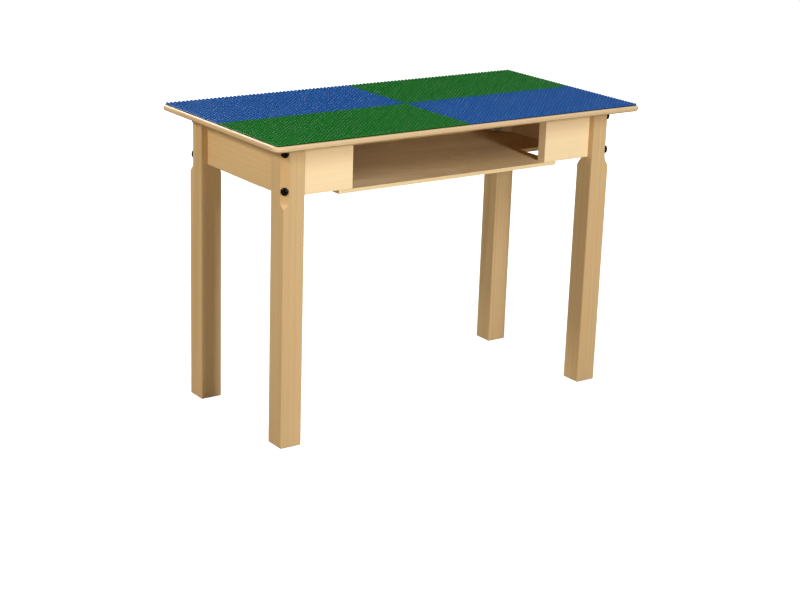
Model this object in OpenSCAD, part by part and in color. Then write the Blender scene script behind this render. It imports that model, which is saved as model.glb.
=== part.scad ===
// Children's play table: a top covered with stud plates, four square legs
// bolted through corner blocks, and an open storage shelf under the top.
// Origin: middle of the footprint on the floor.
// +X is to the right, +Y to the back, +Z up. Millimetres.

/* [Stud plates] */
// Distance from one stud to the next
stud_pitch = 8; // [7:0.1:9]
// Studs along the length of one plate
studs_long = 48; // [24:1:60]
// Studs along the width of one plate
studs_wide = 24; // [16:1:30]
// Diameter of a stud
stud_d = 4.8; // [4:0.1:6]
// Height of a stud above its plate
stud_h = 1.8; // [1:0.1:3]
// Thickness of a plate without its studs
plate_t = 1.6; // [1.2:0.1:4]
// Radius of a plate's corner at the corner of the table
plate_corner_r = 6.5; // [1:0.5:7]
// Gap between neighbouring plates
plate_gap = 0.2; // [0.1:0.1:1]

/* [Tabletop] */
// Height of the wooden top's upper face above the floor
wood_h = 536; // [400:1:760]
// Thickness of the wooden top
top_t = 10; // [9:0.5:25]
// Wood that shows round the plates
top_border = 5; // [2:0.5:30]
// Radius of the top's corners in plan
top_corner_r = 15; // [6:1:40]
// Radius of the top's upper and lower edges
top_edge_r = 4; // [1:0.5:4]

/* [Legs] */
// Width of a square leg
leg_w = 41; // [36:0.5:60]
// Distance from the edge of the top to the outer face of a leg
leg_inset = 38; // [20:1:80]
// Radius of a leg's long edges
leg_edge_r = 2; // [0.5:0.5:4]
// Flat cut off the outer and inner corners of a leg's upper end, on each face
leg_flat = 11; // [8:0.5:14]
// Height of the curved shoulder below that flat
shoulder_h = 22; // [10:0.5:30]
// How far the shoulder's foot lies below the aprons
shoulder_drop = 24; // [18:0.5:60]
// Bevel round the foot
foot_bevel = 1.5; // [0.5:0.5:5]

/* [Aprons] */
// Height of the aprons and front panels
apron_h = 88; // [70:1:140]
// Thickness of the aprons and front panels
apron_t = 19; // [16:0.5:22]
// How far the aprons stand back from the legs' outer faces
apron_recess = 13; // [6:0.5:15]
// Length of a front panel, from its leg to the storage opening
front_panel_l = 102; // [70:1:180]
// Radius of the aprons' lower edges
apron_edge_r = 1; // [0.5:0.5:3]

/* [Storage shelf] */
// Thickness of the shelf
shelf_t = 6.5; // [4:0.5:15]
// How far the shelf's front tongue laps under each front panel
shelf_lap = 27; // [18:1:50]
// Depth of the cut-aways at the shelf's two front corners
front_cut = 105; // [60:1:130]
// How far the shelf laps under the end aprons
wing_lap = 6; // [3:0.5:7]
// Gap between the shelf and the back legs
leg_gap = 1; // [0.5:0.5:3]
// Radius in the shelf's inside corners
shelf_inner_r = 3; // [1:0.5:10]

/* [Corner blocks] */
// Thickness of a corner block along the bolts
block_t = 28; // [20:1:36]
// Blunt end of a corner block where it meets an apron
block_end = 5; // [2:0.5:8]
// How far a corner block stays above the aprons' lower edge
block_gap = 1; // [0.5:0.5:3]

/* [Bolts] */
// Bolt diameter
bolt_d = 8; // [6:1:10]
// Play between a bolt and its bore, across the diameter
bolt_play = 0.5; // [0.3:0.1:1]
// Diameter of the bolt's head
bolt_head_d = 13.5; // [12:0.5:17]
// Height of the bolt's domed head
bolt_head_h = 4.6; // [3:0.1:6]
// Height of the head's straight rim
bolt_rim_h = 2.2; // [0.8:0.1:2.5]
// Width of the hexagon socket across its flats
socket_w = 5; // [4:0.5:6]
// Depth of the hexagon socket
socket_depth = 2.4; // [1.5:0.1:2.8]
// Distance of the bolts from the aprons' upper and lower edges
bolt_edge = 12.5; // [11:0.5:20]
// Washer diameter
washer_d = 20; // [16:0.5:21]
// Washer thickness
washer_t = 1.6; // [1:0.1:3]
// Nut width across its flats
nut_w = 13; // [11:0.5:16]
// Nut height
nut_h = 6.5; // [5:0.5:8]
// Bolt end that shows past the nut
bolt_end = 2; // [1:0.5:6]

/* [Wood screws] */
// Screw diameter
screw_d = 4; // [3:0.1:5]
// Play between a screw and its hole, across the diameter
screw_play = 0.3; // [0.2:0.1:0.6]
// Diameter of a screw's head
screw_head_d = 8; // [7:0.1:9.5]
// Height of a screw's head
screw_head_h = 2.6; // [2:0.1:3]
// Wood under the head of a corner block screw
block_screw_grip = 7; // [5:0.5:10]
// Depth of a corner block screw in its apron
block_screw_bite = 13; // [8:0.5:14]
// Depth of a shelf screw in its apron
shelf_screw_bite = 24; // [12:1:40]
// Tilt of the pocket screws that hold the top
pocket_tilt = 15; // [10:1:18]
// Wood under the head of a pocket screw
pocket_grip = 17; // [12:1:24]
// Depth of a pocket screw in the top
pocket_bite = 7; // [5:0.5:8]
// Diameter of a pocket hole
pocket_d = 9.5; // [9.4:0.1:10]

/* [Hidden] */

top_l = 2 * studs_long * stud_pitch + 2 * top_border;
top_w = 2 * studs_wide * stud_pitch + 2 * top_border;
apron_z = wood_h - top_t - apron_h;
apron_top = wood_h - top_t;
leg_x = top_l / 2 - leg_inset;              // outer faces of the legs
leg_y = top_w / 2 - leg_inset;
side_span = top_l - 2 * leg_inset - 2 * leg_w;   // clear length between the legs
end_span = top_w - 2 * leg_inset - 2 * leg_w;
inner_face = apron_recess + apron_t;        // from a leg's outer face to the aprons' inner face
opening_w = side_span - 2 * front_panel_l;
block_near = 2 * leg_w - leg_flat;          // x + y on the leg's inner flat
block_far = block_near + block_t * sqrt(2); // x + y on the block's free face
block_screw_x = block_far - inner_face - block_end - screw_head_d;
bolt_zs = [apron_z + bolt_edge, apron_top - bolt_edge];
block_screw_zs = [for (k = [1, 2]) bolt_zs[0] + k * (bolt_zs[1] - bolt_zs[0]) / 3];
shelf_z = apron_z - shelf_t;
shelf_y = leg_y - apron_recess;             // front and back edges of the shelf
tongue_x = opening_w / 2 + shelf_lap;
wing_x = leg_x - inner_face + wing_lap;
shelf_screw_y = shelf_y - apron_t / 2;
shelf_screw_spots = [
    for (sx = [-1, 1]) [sx * (opening_w + shelf_lap) / 2, -shelf_screw_y],
    for (sx = [-1, 1], k = [1, 3]) [sx * k * tongue_x / 4, shelf_screw_y]
];
CLEAR = 60;                                 // overlength of cutting tools
ROUND = 48;                                 // facets of a drawn circle

MAPLE = [0.84, 0.70, 0.50];
BIRCH = [0.95, 0.84, 0.66];
PLY_EDGE = [0.90, 0.78, 0.60];
BLUE = [0.11, 0.32, 0.62];
GREEN = [0.06, 0.42, 0.13];
BLACK = [0.06, 0.06, 0.07];
STEEL = [0.72, 0.72, 0.74];

// ---- helpers -------------------------------------------------------------

// Rectangle with all four corners rounded, one corner at the origin
module rounded_rect(w, d, r) {
    translate([r, 0]) square([w - 2 * r, d]);
    translate([0, r]) square([w, d - 2 * r]);
    for (x = [r, w - r], y = [r, d - r])
        translate([x, y]) circle(r, $fn = ROUND);
}

// Puts a child in one of the table's four quarters: sx -1 left, sy -1 front
module in_quarter(sx, sy) {
    rotate([0, 0, sx == sy ? (sx > 0 ? 180 : 0) : 0])
        if (sx == sy) children();
        else if (sx > 0) mirror([1, 0, 0]) children();
        else mirror([0, 1, 0]) children();
}

// Puts a child at a leg: its origin is the leg's outer edge, +X and +Y point inwards
module at_leg(sx, sy) {
    in_quarter(sx, sy) translate([-leg_x, -leg_y, 0]) children();
}

// Both sides of a corner's diagonal
module both_sides() {
    children();
    mirror([1, -1, 0]) children();
}

// A child drawn along +Z is laid along the corner's diagonal at each bolt
module along_bolts() {
    for (z = bolt_zs)
        translate([0, 0, z]) rotate([0, 0, 45]) rotate([0, 90, 0]) children();
}

// Board along X from the origin, with its lower long edges rounded
module board(l, t, h, r) {
    rotate([90, 0, 90]) linear_extrude(l) {
        translate([0, r]) square([t, h - r]);
        translate([r, 0]) square([t - 2 * r, r]);
        for (y = [r, t - r])
            translate([y, r]) circle(r, $fn = ROUND);
    }
}

// ---- stud plates ---------------------------------------------------------

// Places of the studs on one plate, measured from the middle of the table
function stud_spots() = [
    for (i = [0:studs_long - 1], j = [0:studs_wide - 1])
        [-(i + 0.5) * stud_pitch, -(j + 0.5) * stud_pitch]
];

// Outline of the front left plate, rounded at the table's corner only
module plate_outline(grow = 0) {
    w = studs_long * stud_pitch;
    d = studs_wide * stud_pitch;
    play = plate_gap / 2;
    difference() {
        translate([-w + play - grow, -d + play - grow])
            square([w - 2 * play + 2 * grow, d - 2 * play + 2 * grow]);
        if (grow == 0)
            translate([-w + play, -d + play])
                difference() {
                    square(plate_corner_r);
                    translate([plate_corner_r, plate_corner_r])
                        circle(plate_corner_r, $fn = ROUND);
                }
    }
}

// One plate: the space between the studs is cut out of a block of full height
module stud_plate(sx, sy) {
    in_quarter(sx, sy)
        translate([0, 0, wood_h])
            difference() {
                linear_extrude(plate_t + stud_h) plate_outline();
                translate([0, 0, plate_t])
                    linear_extrude(2 * stud_h)
                        difference() {
                            plate_outline(grow = stud_pitch);
                            for (p = stud_spots())
                                translate(p) circle(d = stud_d, $fn = 16);
                        }
            }
}

// ---- tabletop ------------------------------------------------------------

// Section through the top's edge, from the centre of a corner outwards
module edge_section() {
    square([top_corner_r - top_edge_r, top_t]);
    translate([0, top_edge_r]) square([top_corner_r, top_t - 2 * top_edge_r]);
    for (z = [top_edge_r, top_t - top_edge_r])
        translate([top_corner_r - top_edge_r, z]) circle(top_edge_r, $fn = ROUND);
}

module top_board() {
    core_x = top_l / 2 - top_corner_r;
    core_y = top_w / 2 - top_corner_r;
    translate([-core_x, -core_y, 0]) cube([2 * core_x, 2 * core_y, top_t]);
    for (side = [0, 180]) rotate([0, 0, side]) {
        translate([-core_x, core_y, 0])
            rotate([90, 0, 90]) linear_extrude(2 * core_x) edge_section();
        translate([core_x, core_y, 0])
            rotate([90, 0, 0]) linear_extrude(2 * core_y) edge_section();
        translate([core_x, core_y, 0])
            rotate_extrude(angle = 90, $fn = ROUND) edge_section();
        translate([-core_x, core_y, 0]) rotate([0, 0, 90])
            rotate_extrude(angle = 90, $fn = ROUND) edge_section();
    }
}

module tabletop() {
    color(PLY_EDGE)
        difference() {
            translate([0, 0, apron_top]) top_board();
            pocket_screw_spots()
                cylinder(h = pocket_bite + screw_play, d = screw_d + screw_play, $fn = ROUND);
        }
}

// ---- legs ----------------------------------------------------------------

// Cut that makes the flat on a leg's corner: x is the depth from the sharp
// edge, y the height. Below the flat it runs out in two equal arcs.
module shoulder_section() {
    depth = leg_flat / sqrt(2);
    turn = 2 * atan(depth / shoulder_h);
    r = shoulder_h / 2 / sin(turn);
    z0 = apron_z - shoulder_drop;
    z1 = z0 + shoulder_h;
    translate([-CLEAR, z1]) square([CLEAR + depth, wood_h - z1]);
    intersection() {
        translate([-CLEAR, z0 + shoulder_h / 2])
            square([CLEAR + depth, shoulder_h / 2]);
        union() {
            translate([depth - r, z1]) circle(r, $fn = ROUND);
            translate([-CLEAR, z0]) square([CLEAR + depth - r, shoulder_h]);
        }
    }
    difference() {
        translate([-CLEAR, z0]) square([CLEAR + depth / 2, shoulder_h / 2]);
        translate([r, z0]) circle(r, $fn = ROUND);
    }
}

module shoulder_cut() {
    rotate([0, 0, 45]) rotate([90, 0, 0])
        linear_extrude(2 * leg_w, center = true) shoulder_section();
}

module leg(sx, sy) {
    color(MAPLE)
        at_leg(sx, sy) difference() {
            linear_extrude(apron_top) rounded_rect(leg_w, leg_w, leg_edge_r);
            shoulder_cut();
            translate([leg_w, leg_w, 0]) rotate([0, 0, 180]) shoulder_cut();
            along_bolts() cylinder(h = 2 * leg_w, d = bolt_d + bolt_play, $fn = ROUND);
            for (side = [0:90:270])
                translate([leg_w / 2, leg_w / 2, 0]) rotate([0, 0, side])
                    translate([leg_w / 2, 0, 0]) rotate([0, 45, 0])
                        cube([foot_bevel * sqrt(2), 2 * leg_w, foot_bevel * sqrt(2)], center = true);
        }
}

// ---- aprons and front panels ---------------------------------------------

// Places a child at each pocket screw: +Z runs up the screw into the top,
// and the origin is where it leaves the apron's upper edge
module pocket_screw_spots() {
    back_y = leg_y - apron_recess - apron_t / 2;
    end_x = leg_x - apron_recess - apron_t / 2;
    for (k = [-1, 0, 1])
        translate([k * side_span / 3, back_y, apron_top])
            rotate([-pocket_tilt, 0, 0]) children();
    for (sx = [-1, 1]) {
        translate([sx * (side_span - front_panel_l) / 2, -back_y, apron_top])
            rotate([pocket_tilt, 0, 0]) children();
        for (sy = [-1, 1])
            translate([sx * end_x, sy * end_span / 8, apron_top])
                rotate([0, sx * pocket_tilt, 0]) children();
    }
}

// Tools that bore the pocket holes and the holes for the other screws
module apron_bores() {
    pocket_screw_spots() {
        translate([0, 0, -pocket_grip - CLEAR])
            cylinder(h = CLEAR, d = pocket_d, $fn = ROUND);
        translate([0, 0, -pocket_grip - 1])
            cylinder(h = pocket_grip + 3, d = screw_d + screw_play, $fn = ROUND);
    }
    for (p = shelf_screw_spots)
        translate([p.x, p.y, apron_z - 1])
            cylinder(h = shelf_screw_bite + 2, d = screw_d + screw_play, $fn = ROUND);
    for (sx = [-1, 1], sy = [-1, 1])
        at_leg(sx, sy) at_block_screws()
            translate([0, 0, -block_screw_bite - 1])
                cylinder(h = block_screw_bite + 2, d = screw_d + screw_play, $fn = ROUND);
}

module apron_back() {
    color(BIRCH)
        difference() {
            translate([-side_span / 2, leg_y - inner_face, apron_z])
                board(side_span, apron_t, apron_h, apron_edge_r);
            apron_bores();
        }
}

module end_apron(sx) {
    color(MAPLE)
        difference() {
            translate([sx * (leg_x - apron_recess - apron_t / 2) + apron_t / 2,
                       -end_span / 2, apron_z])
                rotate([0, 0, 90]) board(end_span, apron_t, apron_h, apron_edge_r);
            apron_bores();
        }
}

module front_panel(sx) {
    color(BIRCH)
        difference() {
            translate([sx * (side_span - front_panel_l) / 2 - front_panel_l / 2,
                       -leg_y + apron_recess, apron_z])
                board(front_panel_l, apron_t, apron_h, apron_edge_r);
            apron_bores();
        }
}

// ---- storage shelf -------------------------------------------------------

// Board under the aprons. Its two front corners are cut away beside a tongue
// under the front panels, and its back corners make room for the legs
module shelf_outline() {
    cut_y = front_cut - shelf_y;
    difference() {
        square([2 * wing_x, 2 * shelf_y], center = true);
        for (side = [0, 1]) mirror([side, 0]) {
            translate([tongue_x, -shelf_y - CLEAR])
                square([wing_x, front_cut + CLEAR]);
            translate([leg_x - leg_w - leg_gap, leg_y - leg_w - leg_gap])
                square(leg_w + CLEAR);
        }
    }
    for (side = [0, 1]) mirror([side, 0])
        translate([tongue_x, cut_y - shelf_inner_r])
            difference() {
                square(shelf_inner_r);
                translate([shelf_inner_r, 0]) circle(shelf_inner_r, $fn = ROUND);
            }
}

module storage_shelf() {
    color(PLY_EDGE)
        difference() {
            translate([0, 0, shelf_z]) linear_extrude(shelf_t) shelf_outline();
            for (p = shelf_screw_spots)
                translate([p.x, p.y, shelf_z - 1]) {
                    cylinder(h = shelf_t + 2, d = screw_d + screw_play, $fn = ROUND);
                    cylinder(h = 1 + screw_head_h, d = screw_head_d + screw_play, $fn = ROUND);
                }
        }
}

// ---- corner blocks -------------------------------------------------------

// Places a child at each of a block's four screws: +Z points from the
// apron's inner face to the screw's head, and the origin is on that face
module at_block_screws() {
    both_sides()
        for (z = block_screw_zs)
            translate([block_screw_x, inner_face, z]) rotate([-90, 0, 0]) children();
}

// Block that fills the corner between two aprons, less the leg's inner flat
module corner_block(sx, sy) {
    a = inner_face;
    tip = block_far - a - block_end;
    color(MAPLE)
        at_leg(sx, sy) difference() {
            translate([0, 0, apron_z + block_gap])
                linear_extrude(apron_h - block_gap)
                    difference() {
                        polygon([
                            [a, a], [tip, a], [tip, a + block_end],
                            [a + block_end, tip], [a, tip]
                        ]);
                        polygon([[0, 0], [block_near, 0], [0, block_near]]);
                    }
            along_bolts() cylinder(h = 4 * leg_w, d = bolt_d + bolt_play, $fn = ROUND);
            at_block_screws() {
                translate([0, 0, -1])
                    cylinder(h = block_screw_grip + 2, d = screw_d + screw_play, $fn = ROUND);
                translate([0, 0, block_screw_grip])
                    cylinder(h = CLEAR, d = screw_head_d + screw_play, $fn = ROUND);
            }
        }
}

// ---- fasteners -----------------------------------------------------------

flat_u = leg_flat / sqrt(2);                // leg's outer flat, along the diagonal
block_u = block_far / sqrt(2);              // block's free face, along the diagonal

module domed_bolt() {
    dome_h = bolt_head_h - bolt_rim_h;
    dome_r = (pow(bolt_head_d / 2, 2) + dome_h * dome_h) / (2 * dome_h);
    difference() {
        rotate([180, 0, 0])
            rotate_extrude($fn = ROUND)
                intersection() {
                    square([bolt_head_d / 2, bolt_head_h]);
                    translate([0, bolt_head_h - dome_r]) circle(dome_r, $fn = 2 * ROUND);
                }
        translate([0, 0, -bolt_head_h - 1])
            cylinder(h = 1 + socket_depth, d = socket_w / cos(30), $fn = 6);
    }
    cylinder(h = block_u - flat_u + washer_t + nut_h + bolt_end, d = bolt_d, $fn = ROUND);
}

module at_legs() {
    for (sx = [-1, 1], sy = [-1, 1])
        at_leg(sx, sy) children();
}

module leg_bolts() {
    color(BLACK)
        at_legs() along_bolts() translate([0, 0, flat_u]) domed_bolt();
}

module bolt_washers() {
    color(STEEL)
        at_legs() along_bolts() translate([0, 0, block_u])
            difference() {
                cylinder(h = washer_t, d = washer_d, $fn = ROUND);
                translate([0, 0, -1])
                    cylinder(h = washer_t + 2, d = bolt_d + bolt_play, $fn = ROUND);
            }
}

module bolt_nuts() {
    color(STEEL)
        at_legs() along_bolts() translate([0, 0, block_u + washer_t])
            difference() {
                cylinder(h = nut_h, d = nut_w / cos(30), $fn = 6);
                translate([0, 0, -1])
                    cylinder(h = nut_h + 2, d = bolt_d + bolt_play, $fn = ROUND);
            }
}

// Wood screw along -Z with its head's underside at the origin
module wood_screw(l) {
    difference() {
        cylinder(h = screw_head_h, d = screw_head_d, $fn = ROUND);
        for (turn = [0, 90])
            rotate([0, 0, turn])
                translate([0, 0, screw_head_h])
                    cube([screw_head_d / 2, 1, screw_head_h], center = true);
    }
    translate([0, 0, -l]) cylinder(h = l, d = screw_d, $fn = ROUND);
}

module corner_block_screws() {
    color(STEEL)
        at_legs() at_block_screws()
            translate([0, 0, block_screw_grip]) wood_screw(block_screw_grip + block_screw_bite);
}

module shelf_screws() {
    color(STEEL)
        for (p = shelf_screw_spots)
            translate([p.x, p.y, shelf_z + screw_head_h]) rotate([180, 0, 0])
                wood_screw(shelf_t - screw_head_h + shelf_screw_bite);
}

module tabletop_screws() {
    color(STEEL)
        pocket_screw_spots()
            translate([0, 0, -pocket_grip]) rotate([180, 0, 0])
                wood_screw(pocket_grip + pocket_bite);
}

tabletop();
color(BLUE) stud_plate(-1, 1);  // stud_plate_back_left
color(GREEN) stud_plate(1, 1);  // stud_plate_back_right
color(GREEN) stud_plate(-1, -1);  // stud_plate_front_left
color(BLUE) stud_plate(1, -1);  // stud_plate_front_right
leg(-1, -1);  // leg_front_left
leg(1, -1);  // leg_front_right
leg(-1, 1);  // leg_back_left
leg(1, 1);  // leg_back_right
apron_back();
end_apron(-1);  // apron_left_end
end_apron(1);  // apron_right_end
front_panel(-1);  // front_panel_left
front_panel(1);  // front_panel_right
storage_shelf();
corner_block(-1, -1);  // corner_block_front_left
corner_block(1, -1);  // corner_block_front_right
corner_block(-1, 1);  // corner_block_back_left
corner_block(1, 1);  // corner_block_back_right
leg_bolts();
bolt_washers();
bolt_nuts();
corner_block_screws();
shelf_screws();
tabletop_screws();
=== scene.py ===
"""Looks of a children's play table with stud plates and an open storage shelf.

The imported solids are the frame. This script gives every wooden board its grain,
rebuilds the stud plates and the fasteners as finer meshes in the places of their
solids, and sets up a plain studio with a camera at the photograph's angle.
All lengths are metres; +X is to the right, +Y to the back, +Z up.
"""

import logging
import math
from collections.abc import Callable, Iterable, Sequence
from dataclasses import dataclass
from enum import Enum
from typing import ClassVar

import bpy
from mathutils import Matrix, Vector


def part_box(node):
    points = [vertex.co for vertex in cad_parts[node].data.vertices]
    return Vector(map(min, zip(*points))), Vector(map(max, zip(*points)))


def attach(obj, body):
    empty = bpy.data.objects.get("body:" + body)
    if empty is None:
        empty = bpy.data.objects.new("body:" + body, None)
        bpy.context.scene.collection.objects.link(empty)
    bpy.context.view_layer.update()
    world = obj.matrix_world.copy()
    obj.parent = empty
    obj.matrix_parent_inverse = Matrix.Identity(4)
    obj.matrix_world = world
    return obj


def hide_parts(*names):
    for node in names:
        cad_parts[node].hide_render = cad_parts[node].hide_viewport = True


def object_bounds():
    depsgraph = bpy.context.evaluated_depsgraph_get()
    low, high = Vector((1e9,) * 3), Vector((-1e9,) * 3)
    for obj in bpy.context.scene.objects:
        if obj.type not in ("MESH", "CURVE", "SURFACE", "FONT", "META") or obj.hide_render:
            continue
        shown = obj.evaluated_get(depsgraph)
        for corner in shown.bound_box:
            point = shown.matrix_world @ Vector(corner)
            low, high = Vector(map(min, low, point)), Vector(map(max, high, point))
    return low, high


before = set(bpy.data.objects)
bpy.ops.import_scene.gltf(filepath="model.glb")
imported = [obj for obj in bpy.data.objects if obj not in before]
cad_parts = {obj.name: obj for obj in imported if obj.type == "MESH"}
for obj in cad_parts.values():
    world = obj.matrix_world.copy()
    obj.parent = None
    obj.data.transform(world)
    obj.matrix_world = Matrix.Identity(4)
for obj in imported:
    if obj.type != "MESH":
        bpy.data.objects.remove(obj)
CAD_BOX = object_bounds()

log = logging.getLogger("play_table")

Material = bpy.types.Material
Triple = tuple[float, float, float]
Colour = Triple
Radius = Callable[[float], float]
Profile = list[tuple[float, float | Radius]]

MM = 0.001
BODY = "root"


def srgb(*display: int) -> Colour:
    """Linear colour of three display values.

    Args:
        *display: Red, green and blue from 0 to 255.

    Returns:
        The same colour as linear values from 0 to 1.
    """
    shares = (value / 255 for value in display)
    return tuple(s / 12.92 if s <= 0.04045 else ((s + 0.055) / 1.055) ** 2.4 for s in shares)


# Shader expressions.


@dataclass(frozen=True)
class Signal:
    """A shader socket that adds Math nodes when it is used in an expression."""

    graph: "Graph"
    socket: bpy.types.NodeSocket

    def _math(self, operation: str, *terms: "Signal | float") -> "Signal":
        """Adds one Math node.

        Args:
            operation: The node's operation.
            *terms: The node's inputs in order.

        Returns:
            The node's result.
        """
        return self.graph.add("Math", {"operation": operation}, dict(enumerate(terms)))

    def __add__(self, other: "Signal | float") -> "Signal":
        """Sum of the two."""
        return self._math("ADD", self, other)

    __radd__ = __add__

    def __sub__(self, other: "Signal | float") -> "Signal":
        """This less the other."""
        return self._math("SUBTRACT", self, other)

    def __rsub__(self, other: float) -> "Signal":
        """The other less this."""
        return self._math("SUBTRACT", other, self)

    def __mul__(self, other: "Signal | float") -> "Signal":
        """Product of the two."""
        return self._math("MULTIPLY", self, other)

    __rmul__ = __mul__

    def __truediv__(self, other: "Signal | float") -> "Signal":
        """This divided by the other."""
        return self._math("DIVIDE", self, other)

    def __abs__(self) -> "Signal":
        """Value without its sign."""
        return self._math("ABSOLUTE", self)

    def fraction(self) -> "Signal":
        """What is left after the whole number is taken off."""
        return self._math("FRACT", self)

    def step(self, start: float, end: float) -> "Signal":
        """Smooth step.

        Args:
            start: Value at which the step leaves 0.
            end: Value at which it reaches 1. It may lie below start.

        Returns:
            A value from 0 to 1.
        """
        return self.graph.add(
            "MapRange",
            {"interpolation_type": "SMOOTHSTEP"},
            {"Value": self, "From Min": start, "From Max": end},
        )


class Graph:
    """Node tree of a material or a world, filled from expressions."""

    def __init__(self, owner: Material | bpy.types.World) -> None:
        """Starts an empty tree.

        Args:
            owner: The new material or world.
        """
        owner.use_nodes = True
        self.owner = owner
        self.tree = owner.node_tree
        self.tree.nodes.clear()

    def add(
        self,
        kind: str,
        settings: dict[str, object] | None = None,
        sockets: dict[str | int, object] | None = None,
        output: str | int = 0,
    ) -> Signal:
        """Adds one node.

        Args:
            kind: Node type without its ShaderNode prefix.
            settings: Properties of the node, set first.
            sockets: Value or Signal of each input, by name or number.
            output: Name or number of the output that is wanted.

        Returns:
            The chosen output, or an empty Signal for a node without outputs.
        """
        node = self.tree.nodes.new("ShaderNode" + kind)
        for key, value in (settings or {}).items():
            setattr(node, key, value)
        for key, value in (sockets or {}).items():
            if isinstance(value, Signal):
                self.tree.links.new(value.socket, node.inputs[key])
            elif node.inputs[key].type == "RGBA":
                node.inputs[key].default_value = (*value, 1.0)
            else:
                node.inputs[key].default_value = value
        return Signal(self, node.outputs[output] if node.outputs else None)

    def place(self) -> Signal:
        """Position on the piece in metres."""
        return self.add("TexCoord", output="Object")

    def scaled(self, vector: Signal, scale: Sequence[float], shift: Sequence[float]) -> Signal:
        """Moves and scales a position.

        Args:
            vector: The position.
            scale: Factor along each axis.
            shift: What is added after scaling.

        Returns:
            The new position.
        """
        return self.add(
            "VectorMath", {"operation": "MULTIPLY_ADD"}, {0: vector, 1: scale, 2: shift}
        )

    def noise(
        self, where: Signal, detail: float = 2.0, roughness: float = 0.5, line: bool = False
    ) -> Signal:
        """Soft noise about 0.5, one feature to a unit.

        Args:
            where: Position at which it is read, or a single value.
            detail: Octaves beyond the first.
            roughness: Weight of the finer octaves.
            line: True where the noise runs along a single value.

        Returns:
            A value from 0 to 1.
        """
        dimensions, socket = ("1D", "W") if line else ("3D", "Vector")
        return self.add(
            "TexNoise",
            {"noise_dimensions": dimensions},
            {socket: where, "Scale": 1.0, "Detail": detail, "Roughness": roughness},
            "Fac",
        )

    def blend(self, below: Signal | Colour, above: Signal | Colour, factor: Signal) -> Signal:
        """Mixes two colours.

        Args:
            below: Colour at factor 0.
            above: Colour at factor 1.
            factor: Share of the second.

        Returns:
            The mixed colour.
        """
        return self.add("Mix", {"data_type": "RGBA"}, {0: factor, 6: below, 7: above}, 2)

    def parts(self, vector: Signal) -> list[Signal]:
        """The three parts of a vector."""
        first = self.add("SeparateXYZ", sockets={0: vector})
        return [Signal(self, out) for out in first.socket.node.outputs]

    def relief(self, height: Signal, depth: float) -> Signal:
        """Normal that a relief gives.

        Args:
            height: Relief from 0 to 1.
            depth: Its depth in metres.

        Returns:
            The bent normal.
        """
        return self.add("Bump", sockets={"Strength": 1.0, "Distance": depth, "Height": height})

    def finish(self, shader: Signal) -> Material | bpy.types.World:
        """Ends the tree with its output and returns what it belongs to."""
        kind = "OutputWorld" if isinstance(self.owner, bpy.types.World) else "OutputMaterial"
        self.add(kind, sockets={"Surface": shader})
        return self.owner


# Finishes.


class Grain(Enum):
    """Axis that a board's fibres follow."""

    ALONG_X = 0
    ALONG_Y = 1
    ALONG_Z = 2

    def stretched(self, across: float, along: float) -> Triple:
        """Scale of a pattern drawn out along the fibres.

        Args:
            across: Features to a metre across the fibres.
            along: Features to a metre along them.

        Returns:
            The scale along each axis.
        """
        return tuple(along if axis == self.value else across for axis in range(3))


@dataclass(frozen=True)
class Finish:
    """A finish whose marks differ from piece to piece.

    Attributes:
        stride: How far the marks move from one piece to the next.
    """

    name: str
    stride: ClassVar[Triple] = (3.7, 1.9, 5.3)

    def material(self, number: int) -> Material:
        """Makes the finish for one piece.

        Args:
            number: Number of the piece, so that no two have the same marks.

        Returns:
            The material.
        """
        g = Graph(bpy.data.materials.new(f"{self.name}_{number}"))
        return self._fill(g, g.place(), Vector(self.stride) * number, number)

    def _fill(self, g: Graph, place: Signal, shift: Vector, number: int) -> Material:
        """Fills the tree of one piece, in its own way in each kind of finish.

        Args:
            g: The tree.
            place: Position on the piece.
            shift: How far this piece's marks are moved.
            number: Number of the piece.

        Returns:
            The material.
        """
        raise NotImplementedError


@dataclass(frozen=True)
class Lacquer:
    """Clear matt lacquer over wood.

    Attributes:
        haze: Roughness of the coat itself.
        weight: How much coat lies on a planed face.
        depth: Depth of the wood's relief under it.
    """

    haze: float
    weight: float = 0.12
    ior: float = 1.46
    depth: float = 0.05 * MM

    def over(
        self, g: Graph, colour: Signal, rough: Signal, relief: Signal, thin: Signal
    ) -> Material:
        """Ends a wood's tree.

        Args:
            g: The tree.
            colour: The wood's colour.
            rough: Its roughness.
            relief: Its relief from 0 to 1.
            thin: How much less coat it has than a planed face.

        Returns:
            The material.
        """
        sockets = {
            "Base Color": colour,
            "Roughness": rough,
            "Normal": g.relief(relief, self.depth),
            "Coat Weight": self.weight - thin,
            "Coat Roughness": self.haze,
            "IOR": self.ior,
        }
        return g.finish(g.add("BsdfPrincipled", sockets=sockets))


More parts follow.
